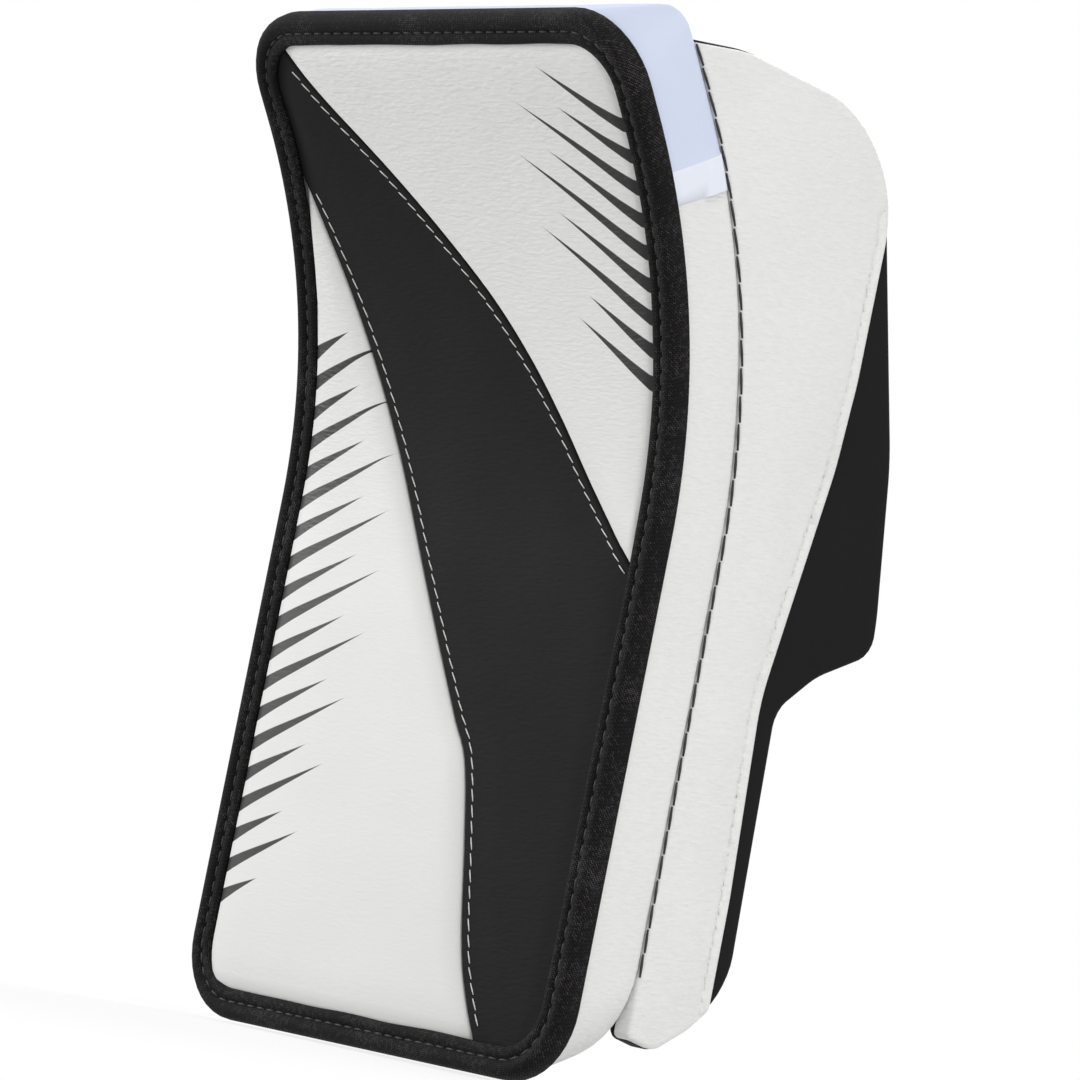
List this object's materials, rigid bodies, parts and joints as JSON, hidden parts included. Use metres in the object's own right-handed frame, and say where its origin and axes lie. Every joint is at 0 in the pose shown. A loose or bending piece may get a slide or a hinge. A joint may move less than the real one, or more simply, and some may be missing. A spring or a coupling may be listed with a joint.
{
  "type": "hockey goalie blocker",
  "caption": "Youth hockey goalkeeper's blocker: a bent padded board with a bound panelled face, a laced side flap and a hand pocket with finger stalls, thumb and wrist strap.",
  "frame": {"origin": "middle of the hand pocket, half way between the back pad and the palm", "axes": "+X across the board towards the thumb and flap, +Y from the struck face to the palm, +Z along the hand from the fingertips to the cuff"},
  "size_m": [0.17, 0.1445, 0.3049],
  "materials": {
    "white_vinyl": "fine leather grain, satin",
    "black_vinyl": "fine leather grain, matte",
    "black_webbing": "woven",
    "white_nylon": "smooth coated nylon",
    "black_nylon": "woven, matte",
    "foam": "closed-cell foam",
    "foam_cover": "nylon over foam",
    "stiff_plastic": "sheet plastic",
    "black_cord": "twisted cord",
    "palm_leather": "soft suede",
    "hook_loop": "hook and loop pile"
  },
  "bodies": {
    "board": {"face_panel_left": "white_vinyl", "face_panel_center": "black_vinyl", "face_panel_right": "white_vinyl", "face_binding": "black_webbing", "impact_foam": "foam", "board_plate": "stiff_plastic", "backing_foam": "foam", "back_panel": "black_nylon", "side_gusset": "white_vinyl", "top_gusset": "white_nylon", "flap_lacing": "black_cord", "hand_back_pad": "foam_cover", "palm_panel": "palm_leather", "palm_patch": "palm_leather", "hand_side_little": "black_nylon", "hand_side_thumb": "black_nylon", "thumb_collar": "palm_leather", "cuff_wing_little": "foam_cover", "cuff_wing_thumb": "foam_cover", "loop_patch": "hook_loop"},
    "side_flap": {"flap_front_panel": "white_vinyl", "flap_edge_panel": "black_vinyl", "flap_foam": "foam", "flap_plate": "stiff_plastic", "flap_lining": "black_nylon", "flap_edge_band": "black_nylon"},
    "strap": {"wrist_strap": "black_webbing", "hook_patch": "hook_loop"},
    "thumb": {"thumb_stall": "palm_leather", "thumb_guard": "foam_cover"},
    "finger_index": {"finger_stall_index": "palm_leather", "finger_guard_index": "foam_cover"},
    "finger_middle": {"finger_stall_middle": "palm_leather", "finger_guard_middle": "foam_cover"},
    "finger_ring": {"finger_stall_ring": "palm_leather", "finger_guard_ring": "foam_cover"},
    "finger_little": {"finger_stall_little": "palm_leather", "finger_guard_little": "foam_cover"}
  },
  "joints": [
    {"name": "flap_flex", "type": "hinge", "parent": "board", "child": "side_flap", "pos_m": [0.084, -0.0199, -0.0098], "axis": [0, 0, -1], "range_deg": [0, 20], "stiffness_Nm_per_rad": 0.6},
    {"name": "strap_swing", "type": "hinge", "parent": "board", "child": "strap", "pos_m": [-0.0621, 0.0191, 0.0642], "axis": [0, 0, 1], "range_deg": [0, 120]},
    {"name": "thumb_flex", "type": "hinge", "parent": "board", "child": "thumb", "pos_m": [0.0539, 0.0212, 0.00045], "axis": [1, 0, 0], "range_deg": [0, 40], "stiffness_Nm_per_rad": 0.03},
    {"name": "index_flex", "type": "hinge", "parent": "board", "child": "finger_index", "pos_m": [0.0288, 0.0143, -0.0405], "axis": [1, 0, 0], "range_deg": [-10, 70], "stiffness_Nm_per_rad": 0.02},
    {"name": "middle_flex", "type": "hinge", "parent": "board", "child": "finger_middle", "pos_m": [0.0076, 0.0143, -0.0405], "axis": [1, 0, 0], "range_deg": [-10, 70], "stiffness_Nm_per_rad": 0.02},
    {"name": "ring_flex", "type": "hinge", "parent": "board", "child": "finger_ring", "pos_m": [-0.0136, 0.0143, -0.0405], "axis": [1, 0, 0], "range_deg": [-10, 70], "stiffness_Nm_per_rad": 0.02},
    {"name": "little_flex", "type": "hinge", "parent": "board", "child": "finger_little", "pos_m": [-0.0348, 0.0143, -0.0405], "axis": [1, 0, 0], "range_deg": [-10, 70], "stiffness_Nm_per_rad": 0.02}
  ]
}
